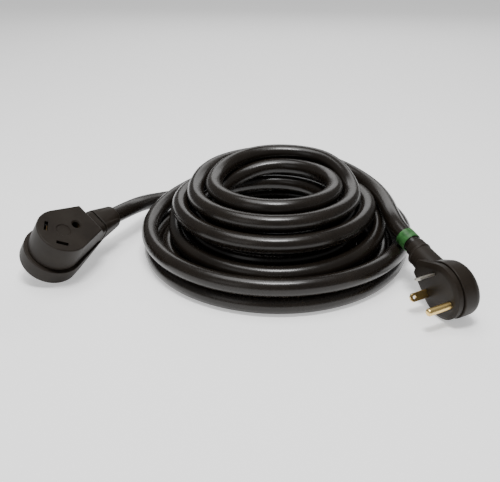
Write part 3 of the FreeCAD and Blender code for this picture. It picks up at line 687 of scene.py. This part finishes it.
@dataclass
class Plug:
    """The moulded plug: face, back cover, strain relief, two blades and a ground pin.

    A depth, a top, a foot, a tail and a drop are measured down from the face, a tip up from it,
    and a start and an end along X. What is called a half holds half of either side.
    """

    place: Matrix
    lean: float = 2.5
    lean_height: float = 12.0

    # The face's plate.
    face: Outline = Outline(22.6, 33.0, 6.0)
    face_foot: Outline = Outline(25.8, 36.0, 8.0)
    face_depth: float = 7.0
    flare_depth: float = 2.2
    face_round: float = 1.8
    foot_round: float = 0.6
    seat: Outline = Outline(21.0)
    seat_depth: float = 3.0
    slot_half: Pair = (1.2, 4.2)
    slot_depth: float = 4.0
    pin_hole: Outline = Outline(3.65)

    # The cover, with its waist in the groove and the cavity that holds the insert.
    waist: Outline = Outline(24.4, 34.0, 5.5)
    waist_overlap: float = 3.0
    cover: Outline = Outline(26.8, 36.0, 4.0)
    cover_end: Outline = Outline(25.3, 36.0, 4.0)
    cover_shift: float = -0.3
    cover_slant: Pair = (0.06, -0.088)
    cover_top: float = 8.3
    cover_foot: float = 28.0
    cover_round: float = 8.0
    groove_round: float = 1.0
    cavity: Outline = Outline(19.4, 30.0, 7.5)
    cavity_top: float = 6.0
    cavity_foot: float = 24.7

    # The neck's rings, with the lip at its end, the strain relief and the cord's way through them.
    neck: tuple[Ring, ...] = (
        (20.0, 15.0, 12.4),
        (35.0, 14.4, 12.0),
        (46.1, 14.8, 11.5),
        (46.9, 14.9, 12.2),
        (49.5, 15.1, 12.0),
    )
    lip_round: float = 1.2
    lip_root_round: float = 0.5
    cord_drop: float = 17.2
    bore_start: float = 24.0
    bore_end: float = 60.0
    relief_radius: float = 9.9
    relief_tip_radius: float = 9.6
    relief_end: float = 58.4
    relief_round: float = 0.7

    # The blades, with their clipped corners and holes.
    blade_half: Pair = (1.0, 4.0)
    blade_tip: float = 18.0
    blade_tail: float = 11.9
    blade_clip: float = 2.4
    blade_edge: float = 0.22
    blade_hole: float = 1.7
    blade_hole_back: float = 4.2

    # The ground pin, with its shank and its tail in the insert.
    pin_radius: float = 3.45
    pin_tip: float = 23.8
    pin_round: float = 2.4
    shank_radius: float = 3.1
    shank_depth: float = 7.0
    tail_radius: float = 2.0
    tail_depth: float = 17.0

    parts: list[Object] = field(default_factory=list)

    def build(
        self, plastic: Material, brass: Material, nickel: Material,
    ) -> None:
        """Builds the plug's pieces.

        Args:
            plastic: The finish of the mouldings.
            brass: The finish of the hot blade and the ground pin.
            nickel: The finish of the neutral blade.
        """
        for made, slot, node, material in (
            (self.front(), Slot.MOULDED, "plug_front_body", plastic),
            (self.back(), Slot.MOULDED, "plug_back_cover", plastic),
            (self.relief(), Slot.MOULDED, "plug_strain_relief", plastic),
            (self.blade("plug_hot_blade_piece", 1), Slot.BRASS, "plug_hot_blade", brass),
            (self.blade("plug_neutral_blade_piece", -1), Slot.NICKEL, "plug_neutral_blade", nickel),
            (self.pin(), Slot.BRASS, "plug_ground_pin", brass),
        ):
            self.parts.append(Piece(made, slot, (node,)).finish(self.place, material))

    def leant(self) -> Matrix:
        """Finds the lean of the plate, the blades and the pin, about a point half-way up the pin."""
        turn = Matrix.Rotation(math.radians(self.lean), 4, "X")
        return moved(z=self.lean_height) @ turn @ moved(z=-self.lean_height)

    def front(self) -> Object:
        """Makes the face's plate, flared towards the groove, with its slots and the pin's hole."""
        body = Form("plug_face").loft(
            (-self.face_depth, self.face_foot), (-self.flare_depth, self.face_foot), (0.0, self.face),
        )
        body.rounded(self.face_round, at_height(0.0))
        body.rounded(self.foot_round, at_height(-self.face_depth))
        seat = Form("seat").prism(self.seat, -self.face_depth - PAST, -self.seat_depth)
        slots = blade_slots(PIN_CIRCLE, self.slot_half, self.slot_depth)
        hole = Form("hole").prism(self.pin_hole, -self.slot_depth, PAST)
        hole.placed(moved(-PIN_CIRCLE))
        made = combine(body.done(), Boolean.CUT, seat, *slots, hole)
        made.data.transform(self.leant())
        return made

    def back(self) -> Object:
        """Makes the cover behind the groove, with the neck that the cord leaves by."""
        body = Form("plug_cover").loft((-self.cover_foot, self.cover_end), (-self.cover_top, self.cover))
        body.placed(moved(y=self.cover_shift) @ Matrix.Shear("XY", 4, self.cover_slant))
        body.rounded(self.cover_round, at_height(-self.cover_foot), segments=6)
        body.rounded(self.groove_round, at_height(-self.cover_top))
        waist = Form("waist").prism(self.waist, -self.cover_top - self.waist_overlap, -self.face_depth)
        waist.placed(self.leant())
        lip, end = (ring[0] for ring in self.neck[-2:])
        neck = Form("neck").tube(*self.neck)
        neck.rounded(self.lip_round, at_length(end))
        neck.rounded(self.lip_root_round, at_length(lip), segments=2)
        cavity = Form("cavity").prism(self.cavity, -self.cavity_foot, -self.cavity_top)
        bore = cord_bore(self.bore_start, self.bore_end, self.cord_drop)
        return combine(combine(body.done(), Boolean.JOIN, waist, neck), Boolean.CUT, cavity, bore)

    def relief(self) -> Object:
        """Makes the short sleeve round the cord past the neck's lip."""
        start, end = self.neck[-1][0], self.relief_end
        sleeve = Form("plug_relief").turned((
            (start, CORD_WAY), (start, self.relief_radius),
            (end, self.relief_tip_radius), (end, CORD_WAY),
        ))
        sleeve.rounded(self.relief_round, at_length(end))
        return sleeve.placed(moved(z=-self.cord_drop)).done()

    def blade(self, name: str, side: int) -> Object:
        """Makes a flat blade with clipped corners and a hole.

        Args:
            name: The piece's name.
            side: Which side of the face it is on, 1 or -1.
        """
        thick, wide = self.blade_half
        tip = self.blade_tip

        def at_corner(edge: BMEdge) -> bool:
            """Whether the edge crosses the strip's thickness at the tip."""
            ends = [vert.co for vert in edge.verts]
            return all(end.z > tip - CLOSE for end in ends) and abs(ends[0].y - ends[1].y) < CLOSE

        strip = Form(name).block(
            (PIN_CIRCLE - thick, -wide, -self.blade_tail), (PIN_CIRCLE + thick, wide, tip),
        )
        strip.rounded(self.blade_clip, at_corner, segments=1)
        strip.rounded(self.blade_edge, segments=3).placed(about_z(side * BLADE_TURN))
        reach = thick + 2 * PAST
        drop = self.blade_hole_back - tip
        drill = Form("drill").tube(
            (PIN_CIRCLE - reach, drop, self.blade_hole), (PIN_CIRCLE + reach, drop, self.blade_hole),
        )
        made = combine(strip.done(), Boolean.CUT, drill.placed(about_z(side * BLADE_TURN)))
        made.data.transform(self.leant())
        return made

    def pin(self) -> Object:
        """Makes the round ground pin, with its rounded tip."""
        rod = Form("plug_pin").turned((
            (-self.tail_depth, 0.0), (-self.tail_depth, self.tail_radius),
            (-self.shank_depth, self.tail_radius), (-self.shank_depth, self.shank_radius),
            (0.0, self.shank_radius), (0.0, self.pin_radius),
            (self.pin_tip, self.pin_radius), (self.pin_tip, 0.0),
        ))
        rod.rounded(self.pin_round, at_length(self.pin_tip), segments=6)
        out_of_face = moved(-PIN_CIRCLE) @ Matrix.Rotation(-math.pi / 2, 4, "Y")
        return rod.placed(self.leant() @ out_of_face).done()


@dataclass
class Connector:
    """The moulded connector: slotted face, raised body, back cover and long strain relief.

    Its sizes are measured as the plug's are.
    """

    place: Matrix

    # The raised body, with the slope that falls to the neck.
    face: Outline = Outline(25.5, 52.0, 13.5)
    depth: float = 29.5
    slope_start: float = 36.0
    slope_end: float = 51.0
    slope_fall: float = 17.5
    body_round: float = 1.1
    cavity: Outline = Outline(21.8, 38.0, 7.5)
    cavity_top: float = 4.0
    cavity_foot: float = 31.0

    # The openings in the face.
    slot_half: Pair = (1.8, 5.7)
    slot_depth: float = 5.0
    ground_hole: Outline = Outline(3.9)
    lead_in: Sections = ((-1.2, Outline(3.9)), (0.2, Outline(5.4)))
    dish: Sections = ((-0.7, Outline(6.6)), (0.1, Outline(7.4)))

    # The cover, cut back on a slope from its heel, with its waist in the groove.
    waist: Outline = Outline(24.9, 56.5, 12.9)
    waist_foot: float = 34.0
    cover: Outline = Outline(29.0, 58.0, 13.5)
    cover_top: float = 30.6
    cover_foot: float = 48.4
    cover_round: float = 2.4
    groove_round: float = 2.8
    heel_start: float = 18.0
    heel_run: float = 40.0
    heel_rise: float = 14.5
    cover_cavity_top: float = 28.0
    cover_cavity_foot: float = 33.0

    # The squared neck, trimmed where it would reach below the body, and the strain relief.
    root_drop: float = 24.6
    root_half: Pair = (14.7, 14.6)
    root_corner: float = 6.5
    root_round: float = 0.9
    neck_start: float = 34.0
    neck_end: float = 52.6
    neck_round: float = 0.8
    trim_start: float = 38.0
    trim_end: float = 62.0
    trim_half: float = 22.0
    trim_foot: float = 44.0
    relief_start: float = 53.8
    relief_end: float = 78.5
    tip_drop: float = 21.1
    tip_radius: float = 11.9
    tip_round: float = 1.2
    cord_drop: float = 20.6
    bore_start: float = 32.0
    bore_end: float = 62.0

    def build(self, plastic: Material) -> None:
        """Builds the connector's pieces in the mouldings' finish."""
        for made, node in (
            (self.front(), "connector_front_body"),
            (self.back(), "connector_back_cover"),
            (self.relief(), "connector_strain_relief"),
        ):
            Piece(made, Slot.MOULDED, (node,)).finish(self.place, plastic)

    def root(self, form: Form, length: float) -> Edges:
        """Draws the squared section of the neck and of the strain relief's root."""
        return form.squared(length, self.root_drop, self.root_half, self.root_corner)

    def front(self) -> Object:
        """Makes the raised body, with the openings in its face and a slope down to the neck."""
        body = Form("connector_face").prism(self.face, -self.depth, 0.0)
        slope_run = self.slope_end - self.slope_start
        body.sliced((self.slope_start, 0.0, 0.0), (self.slope_fall, 0.0, slope_run))
        body.rounded(self.body_round, above(-self.depth))
        neck = Form("neck")
        neck.skin([self.root(neck, length) for length in (self.neck_start, self.neck_end)])
        neck.rounded(self.neck_round, at_length(self.neck_end), segments=3)
        trim = Form("trim").block(
            (self.trim_start, -self.trim_half, -self.trim_foot),
            (self.trim_end, self.trim_half, -self.depth),
        )
        body = combine(combine(body.done(), Boolean.JOIN, neck), Boolean.CUT, trim)
        cavity = Form("cavity").prism(self.cavity, -self.cavity_foot, -self.cavity_top)
        bore = cord_bore(self.bore_start, self.bore_end, self.cord_drop)
        dish = Form("dish").loft(*self.dish)
        slots = blade_slots(-PIN_CIRCLE, self.slot_half, self.slot_depth)
        hole = Form("hole").prism(self.ground_hole, -self.slot_depth, PAST)
        lead_in = Form("lead_in").loft(*self.lead_in)
        for opening in (hole, lead_in):
            opening.placed(moved(PIN_CIRCLE))
        return combine(body, Boolean.CUT, cavity, bore, dish, *slots, hole, lead_in)

    def back(self) -> Object:
        """Makes the cover under the groove, cut back on a slope below the neck."""
        body = Form("connector_cover").prism(self.cover, -self.cover_foot, -self.cover_top)
        body.sliced((self.heel_start, 0.0, -self.cover_foot), (self.heel_rise, 0.0, -self.heel_run))
        body.rounded(self.cover_round, below(-self.cover_top), segments=5)
        body.rounded(self.groove_round, at_height(-self.cover_top), segments=6)
        waist = Form("waist").prism(self.waist, -self.waist_foot, -self.depth)
        cavity = Form("cavity").prism(self.cavity, -self.cover_cavity_foot, -self.cover_cavity_top)
        return combine(combine(body.done(), Boolean.JOIN, waist), Boolean.CUT, cavity)

    def relief(self) -> Object:
        """Makes the long sleeve round the cord, squared at its root and round at its tip."""
        start, end = self.relief_start, self.relief_end
        sleeve = Form("connector_relief")
        sleeve.skin([self.root(sleeve, start), sleeve.upright_ring(end, self.tip_drop, self.tip_radius)])
        sleeve.rounded(self.root_round, at_length(start)).rounded(self.tip_round, at_length(end))
        bore = cord_bore(start - 2 * PAST, end + 2 * PAST, self.cord_drop)
        return combine(sleeve.done(), Boolean.CUT, bore)


def steady(places: Sequence[float], values: Sequence[float], where: float) -> float:
    """Reads a smooth curve through values that never overshoots them.

    Args:
        places: Where the values are, rising.
        values: The values.
        where: The place that is read.

    Returns:
        The curve's value there.
    """
    last = len(places) - 2
    passed = sum(1 for place in places[1:-1] if place <= where)
    here = max(0, min(last, passed))
    slopes = [0.0] * len(places)
    for stop in range(max(1, here), min(last, here + 1) + 1):
        left = (values[stop] - values[stop - 1]) / (places[stop] - places[stop - 1])
        right = (values[stop + 1] - values[stop]) / (places[stop + 1] - places[stop])
        slopes[stop] = 2 * left * right / (left + right) if left * right > 0 else 0.0
    width = places[here + 1] - places[here]
    share = (where - places[here]) / width
    rise = values[here + 1] - values[here]
    start = slopes[here] * width - rise
    end = rise - slopes[here + 1] * width
    straight = (1 - share) * values[here] + share * values[here + 1]
    return straight + share * (1 - share) * (start * (1 - share) + end * share)


@dataclass
class Cord:
    """The whole cord as one smooth spline: connector lead, wound coil and plug lead.

    The coil's stops are turns from the back, clockwise from above, with the radius and the height
    of the cord's middle there.
    """

    connector_lead: Sequence[Place]
    stops: Sequence[Stop]
    plug_lead: Sequence[Place]
    diameter: float = 17.5
    length: float = 7620.0
    middle: Pair = (37.8, 6.3)
    points_per_turn: int = 24
    round_steps: int = 7
    steps_per_point: int = 5
    spline_order: int = 3

    def wound(self) -> list[Vector]:
        """Works out the spline's control points in the wound turns from the stops."""
        turns, radii, heights = zip(*self.stops)
        count = round((turns[-1] - turns[0]) * self.points_per_turn)
        # A control point lies outside the curve that it pulls, so each is moved out a little.
        spread = 1 / math.cos(math.pi / self.points_per_turn)
        points = []
        for step in range(count + 1):
            turn = turns[0] + (turns[-1] - turns[0]) * step / count
            radius = steady(turns, radii, turn) * spread
            points.append(Vector((
                self.middle[0] + radius * math.sin(FULL_TURN * turn),
                self.middle[1] + radius * math.cos(FULL_TURN * turn),
                steady(turns, heights, turn),
            )))
        return points

    def build(self, jacket: Material, with_pieces: Sequence[Object]) -> None:
        """Args:
            jacket: Its finish.
            with_pieces: The pieces on its far end, not used.
        """
        leads = [[Vector(point) for point in lead] for lead in (self.connector_lead, self.plug_lead)]
        points = leads[0] + self.wound() + leads[1]
        data = bpy.data.curves.new("cord", "CURVE")
        data.dimensions = "3D"
        data.bevel_depth = self.diameter / 2 * MM
        data.bevel_resolution = self.round_steps
        data.resolution_u = self.steps_per_point
        data.use_fill_caps = True
        spline = data.splines.new("NURBS")
        spline.points.add(len(points) - 1)
        for target, point in zip(spline.points, points):
            target.co = (*(point * MM), 1.0)
        spline.order_u = self.spline_order
        spline.use_endpoint_u = True
        spline.use_smooth = True
        made = linked("cord", data)
        nodes = ("cable_coil", "coil_core", "plug_lead", "connector_lead")
        Piece(made, Slot.CORD, nodes).finish(None, jacket)


@dataclass
class Band:
    """The green band round the cord beside the plug, in the plug's own frame."""

    place: Matrix
    cord_drop: float
    start: float = 63.2
    end: float = 75.0
    inner: float = 8.95
    outer: float = 9.75
    edge_round: float = 0.3

    def build(self, material: Material) -> Object:
        """Builds the band in its finish."""
        sleeve = Form("green_band_piece").turned((
            (self.start, self.inner), (self.start, self.outer),
            (self.end, self.outer), (self.end, self.inner),
        ))
        for length in (self.start, self.end):
            sleeve.rounded(self.edge_round, at_length(length), segments=3)
        made = sleeve.placed(moved(z=-self.cord_drop)).done()
        return Piece(made, Slot.BAND, ("green_band",)).finish(self.place, material)


@dataclass(frozen=True)
class Softbox:
    """A rectangular soft light that faces the object, with its place and size in metres."""

    name: str
    place: Place
    size: Pair
    power: float
    target: Place = (0.04, 0.0, 0.05)

    def build(self) -> None:
        """Builds the light."""
        data = bpy.data.lights.new(self.name, "AREA")
        data.shape = "RECTANGLE"
        data.size, data.size_y = self.size
        data.energy = self.power
        made = linked(self.name, data)
        made.location = self.place
        view = Vector(self.target) - Vector(self.place)
        made.rotation_euler = view.to_track_quat("-Z", "Y").to_euler()


@dataclass(frozen=True)
class Studio:
    """The floor, the light and the camera at the photograph's angle.

    The floor's half and the nearest distance that the camera sees are in metres, the camera's
    place in millimetres from the part's origin, and its pitch in degrees down from level.
    """

    softboxes: tuple[Softbox, ...]
    floor_half: float = 6.0
    floor_grey: float = 0.90
    floor_glow: float = 0.50
    world_strength: float = 0.19
    image_width: int = 500
    focal_pixels: float = 611.0
    sensor_width: float = 36.0
    nearest: float = 0.01
    camera_place: Place = (12.8, -588.7, 316.0)
    camera_pitch: float = 27.6

    def build(self) -> None:
        """Builds the studio."""
        self.floor()
        self.world()
        for softbox in self.softboxes:
            softbox.build()
        self.camera()

    def floor(self) -> None:
        """Builds a plain pale floor that also glows a little, as a light table does."""
        ground = Form("floor")
        bmesh.ops.create_grid(ground.mesh, x_segments=1, y_segments=1, size=self.floor_half)
        made = ground.done()
        grey = (self.floor_grey, self.floor_grey, self.floor_grey, 1.0)
        material = Shader("pale_floor").dress(
            Base_Color=grey, Roughness=0.8, Specular_IOR_Level=0.1,
            Emission_Color=WHITE, Emission_Strength=self.floor_glow,
        )
        made.data.materials.append(material)

    def world(self) -> None:
        """Builds soft white surroundings."""
        world = bpy.data.worlds.new("studio")
        world.use_nodes = True
        background = world.node_tree.nodes["Background"]
        background.inputs["Color"].default_value = WHITE
        background.inputs["Strength"].default_value = self.world_strength
        bpy.context.scene.world = world

    def camera(self) -> None:
        """Builds the camera at the photograph's place and angle."""
        data = bpy.data.cameras.new("camera")
        data.sensor_width = self.sensor_width
        data.lens = self.focal_pixels / self.image_width * self.sensor_width
        data.clip_start = self.nearest
        made = linked("camera", data)
        made.location = Vector(self.camera_place) * MM
        made.rotation_euler = (math.radians(90.0 - self.camera_pitch), 0.0, 0.0)
        bpy.context.scene.camera = made


# Where the moulded ends lie, by the middle of their faces.
PLUG_PLACE = head_matrix(middle=(178.3, -132.1, 26.2827), yaw=114.7, pitch=-12.7, roll=-96.5)
CONNECTOR_PLACE = head_matrix(middle=(-164.9, -67.6, 55.4349), yaw=59.3, pitch=2.3, roll=34.0)
# The direction in which the plug's blades and pin point, for their marks.
PINS_ALONG = (-0.91, -0.39, -0.11)

# The cord's leads, as points along their middle from the connector and to the plug.
CONNECTOR_LEAD = (
    (-140.997, -5.221, 36.0),
    (-132.457, 9.603, 35.011),
    (-117.918, 34.090, 33.868),
    (-108.261, 60.864, 27.52),
    (-96.211, 86.352, 19.42),
    (-81.213, 109.247, 12.94),
    (-61.142, 130.279, 9.4),
    (-36.196, 143.748, 8.75),
    (-8.2, 150.34, 8.75),
)
PLUG_LEAD = (
    (156.82, -31.7, 50.56),
    (160.415, -52.318, 46.297),
    (170.198, -73.589, 41.021),
)
# The coil's stops: inwards on the floor, outwards in the layer above, inwards again as it climbs
# to the top, and at last out and down to the plug's lead.
COIL_STOPS = (
    (0.08, 143.0, 8.75), (0.25, 135.0, 8.75), (0.50, 131.5, 8.75), (0.75, 130.0, 8.75),
    (0.89, 123.5, 8.75),
    (1.00, 116.0, 8.75), (1.25, 117.3, 8.75), (1.50, 113.8, 8.75), (1.75, 112.3, 8.75),
    (2.00, 98.0, 8.75), (2.25, 99.5, 8.75), (2.50, 96.1, 8.75), (2.75, 94.6, 8.75),
    (3.00, 80.0, 8.75), (3.25, 82.2, 8.75), (3.50, 74.0, 8.75), (3.75, 62.5, 9.2),
    (3.875, 61.5, 13.0),
    (4.00, 62.0, 19.0), (4.25, 64.0, 26.8), (4.50, 64.0, 26.8), (4.75, 67.5, 26.8),
    (5.00, 78.0, 26.8), (5.25, 85.0, 26.8), (5.50, 83.0, 26.8), (5.75, 85.3, 26.8),
    (5.875, 106.0, 26.5), (5.94, 118.0, 26.4),
    (6.03, 131.0, 24.4), (6.15, 136.0, 26.3), (6.25, 138.0, 26.1), (6.50, 131.5, 26.8),
    (6.75, 132.0, 26.4), (6.875, 132.5, 32.5), (6.94, 131.0, 41.5),
    (7.00, 122.0, 43.0), (7.07, 118.5, 41.0), (7.25, 112.0, 33.0), (7.50, 104.9, 24.3),
    (7.75, 103.0, 29.0), (7.81, 108.0, 38.5), (7.875, 108.5, 43.6),
    (8.00, 104.0, 46.0), (8.125, 100.0, 48.5), (8.25, 98.5, 53.0), (8.50, 98.5, 52.5),
    (8.75, 98.5, 53.0),
    (9.00, 88.5, 54.5), (9.125, 82.5, 51.5), (9.25, 81.0, 47.0), (9.50, 80.0, 46.0),
    (9.75, 78.0, 46.0),
    (10.00, 63.5, 49.0), (10.25, 62.0, 50.5), (10.50, 62.0, 54.0), (10.75, 61.0, 56.0),
    (10.875, 60.8, 60.6),
    (11.00, 62.0, 69.0), (11.25, 63.0, 72.0), (11.50, 63.0, 73.5), (11.75, 62.5, 73.5),
    (12.00, 75.5, 81.0), (12.125, 83.6, 79.0), (12.25, 82.0, 66.0), (12.50, 82.0, 66.0),
    (12.75, 82.0, 66.0), (12.875, 89.0, 71.0),
    (13.00, 104.0, 70.0), (13.11, 118.0, 60.0), (13.18, 118.6, 53.5), (13.25, 119.0, 50.6),
)

BLACK_MOULDING = MouldedPlastic(
    "black_moulding", dark=(0.0125, 0.0092, 0.0066), light=(0.0215, 0.0168, 0.0126),
)
BLACK_JACKET = CordJacket(
    "black_jacket", dark=(0.0074, 0.0054, 0.0038), light=(0.0135, 0.0102, 0.0075),
)
GREEN_BAND = MouldedPlastic(
    "green_band_plastic", dark=(0.012, 0.060, 0.012), light=(0.055, 0.185, 0.050),
    roughness=0.34, specular=0.35, cloud_scale=240.0,
)
ROLLED_BRASS = DrawnMetal(
    "rolled_brass", bright=(0.90, 0.67, 0.28), dull=(0.70, 0.48, 0.18), along=PINS_ALONG,
)
PLATED_BLADE = DrawnMetal(
    "plated_blade", bright=(0.94, 0.90, 0.82), dull=(0.78, 0.73, 0.63), along=PINS_ALONG,
    roughness=0.20,
)
# A metal far darker than brass: painted shade for the contacts deep inside the connector's openings.
CONTACT_METAL_IN_PAINTED_SHADE = DrawnMetal(
    "contact_metal_painted_shade", bright=(0.16, 0.11, 0.05), dull=(0.08, 0.05, 0.025), along=(0.0, 0.0, 1.0),
    roughness=0.34,
)
# The dark and the light colour of the plastics inside the ends, by how their nodes' names end.
INNER_PLASTICS = {
    "plug_insert": ((0.020, 0.020, 0.020), (0.032, 0.032, 0.031)),
    "connector_insert": ((0.020, 0.020, 0.020), (0.032, 0.032, 0.031)),
    "hot_conductor": ((0.010, 0.010, 0.010), (0.018, 0.018, 0.018)),
    "neutral_conductor": ((0.70, 0.70, 0.67), (0.80, 0.80, 0.77)),
    "ground_conductor": ((0.05, 0.26, 0.09), (0.08, 0.34, 0.13)),
}
SOFTBOXES = (
    Softbox("key", place=(0.06, -0.34, 1.28), size=(0.38, 0.20), power=13.5),
    Softbox("top", place=(-0.15, 0.05, 1.7), size=(1.1, 1.1), power=18.0),
    Softbox("fill", place=(-1.0, -1.3, 0.9), size=(0.9, 0.9), power=2.0),
    Softbox("rim", place=(0.2, 1.5, 0.9), size=(1.6, 0.7), power=7.0),
)


def dress_inner_nodes() -> None:
    """Gives the pieces inside the moulded ends their finishes, the metal ones darkened to paint the shade
    inside the openings.
    """
    # The metal pieces take this darkened metal, painted shade for the shadow in their openings.
    metal = CONTACT_METAL_IN_PAINTED_SHADE.build()
    plastics = {
        ending: MouldedPlastic(ending + "_plastic", dark, light).build()
        for ending, (dark, light) in INNER_PLASTICS.items()
    }
    for name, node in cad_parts.items():
        if node.hide_render:
            continue
        material = next((made for ending, made in plastics.items() if name.endswith(ending)), metal)
        node.data.materials.clear()
        node.data.materials.append(material)
        LOG.info("%s keeps its own solid", name)


def main() -> None:
    """Builds the whole scene."""
    logging.basicConfig(level=logging.INFO)
    plastic = BLACK_MOULDING.build()
    jacket = BLACK_JACKET.build()
    green = GREEN_BAND.build()
    brass = ROLLED_BRASS.build()
    nickel = PLATED_BLADE.build()

    plug = Plug(PLUG_PLACE)
    plug.build(plastic, brass, nickel)
    Connector(CONNECTOR_PLACE).build(plastic)
    band = Band(PLUG_PLACE, plug.cord_drop).build(green)
    Cord(CONNECTOR_LEAD, COIL_STOPS, PLUG_LEAD).build(jacket, [*plug.parts, band])
    dress_inner_nodes()
    Studio(SOFTBOXES).build()


if __name__ == "__main__":
    main()
